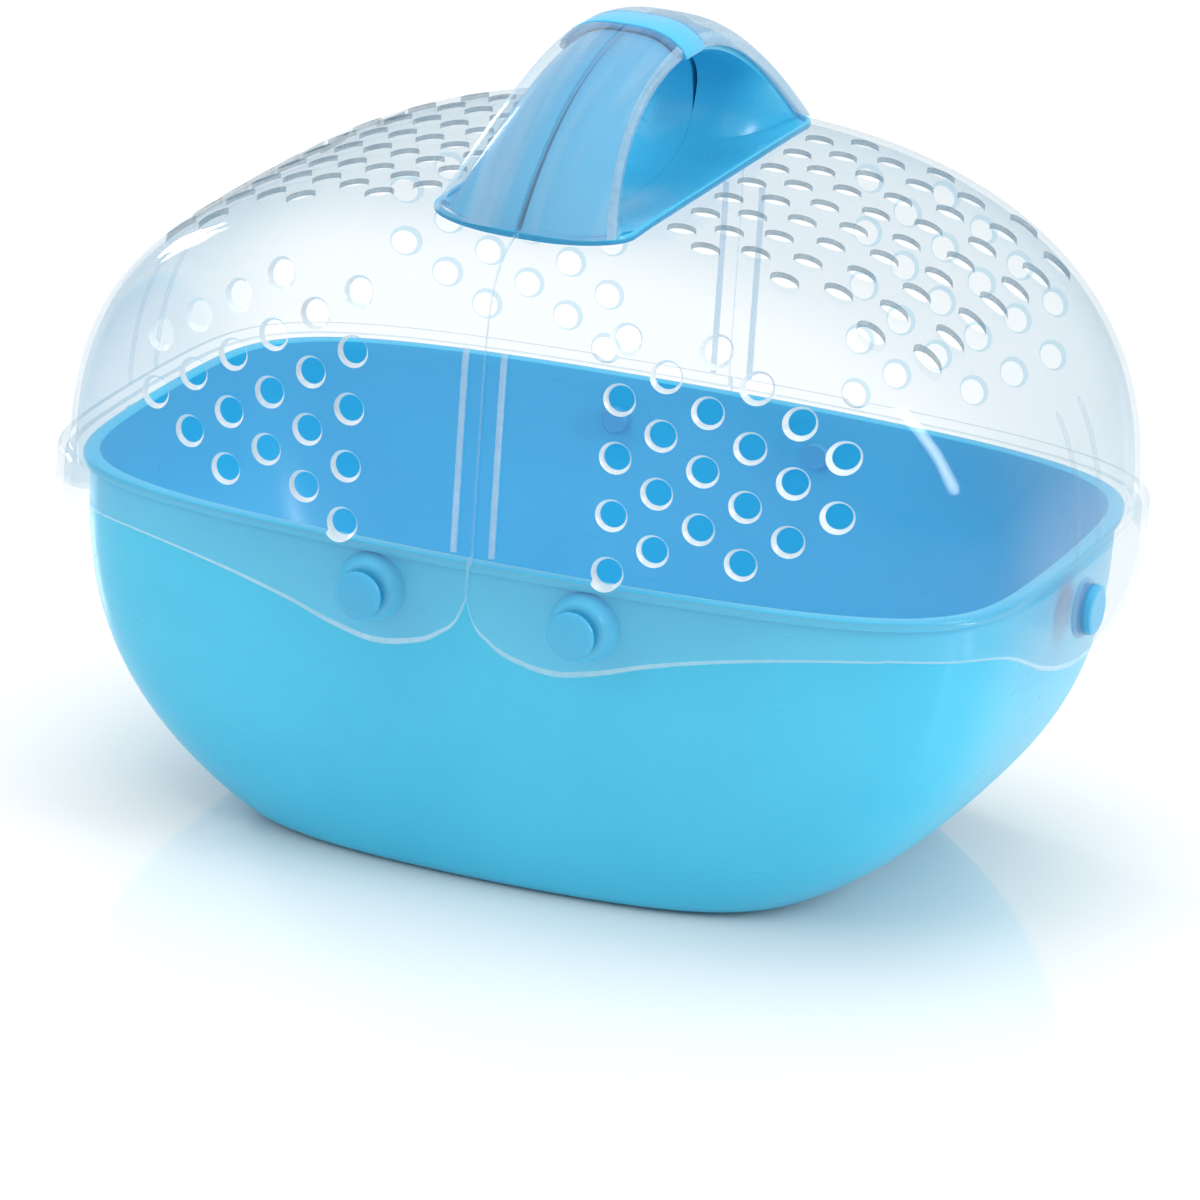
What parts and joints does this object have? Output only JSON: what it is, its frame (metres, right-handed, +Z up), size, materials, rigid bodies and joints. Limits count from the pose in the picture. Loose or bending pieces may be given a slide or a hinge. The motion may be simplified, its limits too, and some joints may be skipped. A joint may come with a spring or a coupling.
{
  "type": "small animal travel carrier",
  "caption": "Rounded small-animal carrier: moulded blue tub, clear vented lid in two halves that swing apart, arched carrying handle with a clasp over the seam.",
  "frame": {"origin": "centre of the flat underside of the tub", "axes": "+Z up, +X along the long side towards the right half, front towards -Y; the two halves meet in the plane X = 0"},
  "size_m": [0.3016, 0.2078, 0.236],
  "materials": {
    "blue": "light blue moulded polypropylene, satin gloss",
    "clasp_blue": "bright blue gloss",
    "clear": "clear moulded polystyrene, polished",
    "pin": "plain steel wire"
  },
  "bodies": {
    "base": {"tub": "blue", "pivot_pin_front_left": "blue", "pivot_pin_rear_left": "blue", "pivot_pin_front_right": "blue", "pivot_pin_rear_right": "blue"},
    "left_half": {"lid_left": "clear", "handle_left": "blue", "cover_front_left": "clear", "cover_rear_left": "clear", "clasp_pin": "pin"},
    "right_half": {"lid_right": "clear", "handle_right": "blue", "cover_front_right": "clear", "cover_rear_right": "clear"},
    "clasp": {"clasp": "clasp_blue"},
    "left_button": {"end_button_left": "blue"},
    "right_button": {"end_button_right": "blue"}
  },
  "joints": [
    {"name": "left_half_hinge", "type": "hinge", "parent": "base", "child": "left_half", "pos_m": [-0.032, 0, 0.0876], "axis": [0, -1, 0], "range_deg": [0, 35]},
    {"name": "right_half_hinge", "type": "hinge", "parent": "base", "child": "right_half", "pos_m": [0.032, 0, 0.0876], "axis": [0, 1, 0], "range_deg": [0, 35]},
    {"name": "clasp_hinge", "type": "hinge", "parent": "left_half", "child": "clasp", "pos_m": [-0.0176, 0, 0.2274], "axis": [0, -1, 0], "range_deg": [0, 110]},
    {"name": "left_button_slide", "type": "slide", "parent": "left_half", "child": "left_button", "axis": [1, 0, 0], "range_m": [0, 0.002], "stiffness_N_per_m": 500, "springref_m": -0.002},
    {"name": "right_button_slide", "type": "slide", "parent": "right_half", "child": "right_button", "axis": [-1, 0, 0], "range_m": [0, 0.002], "stiffness_N_per_m": 500, "springref_m": -0.002}
  ]
}
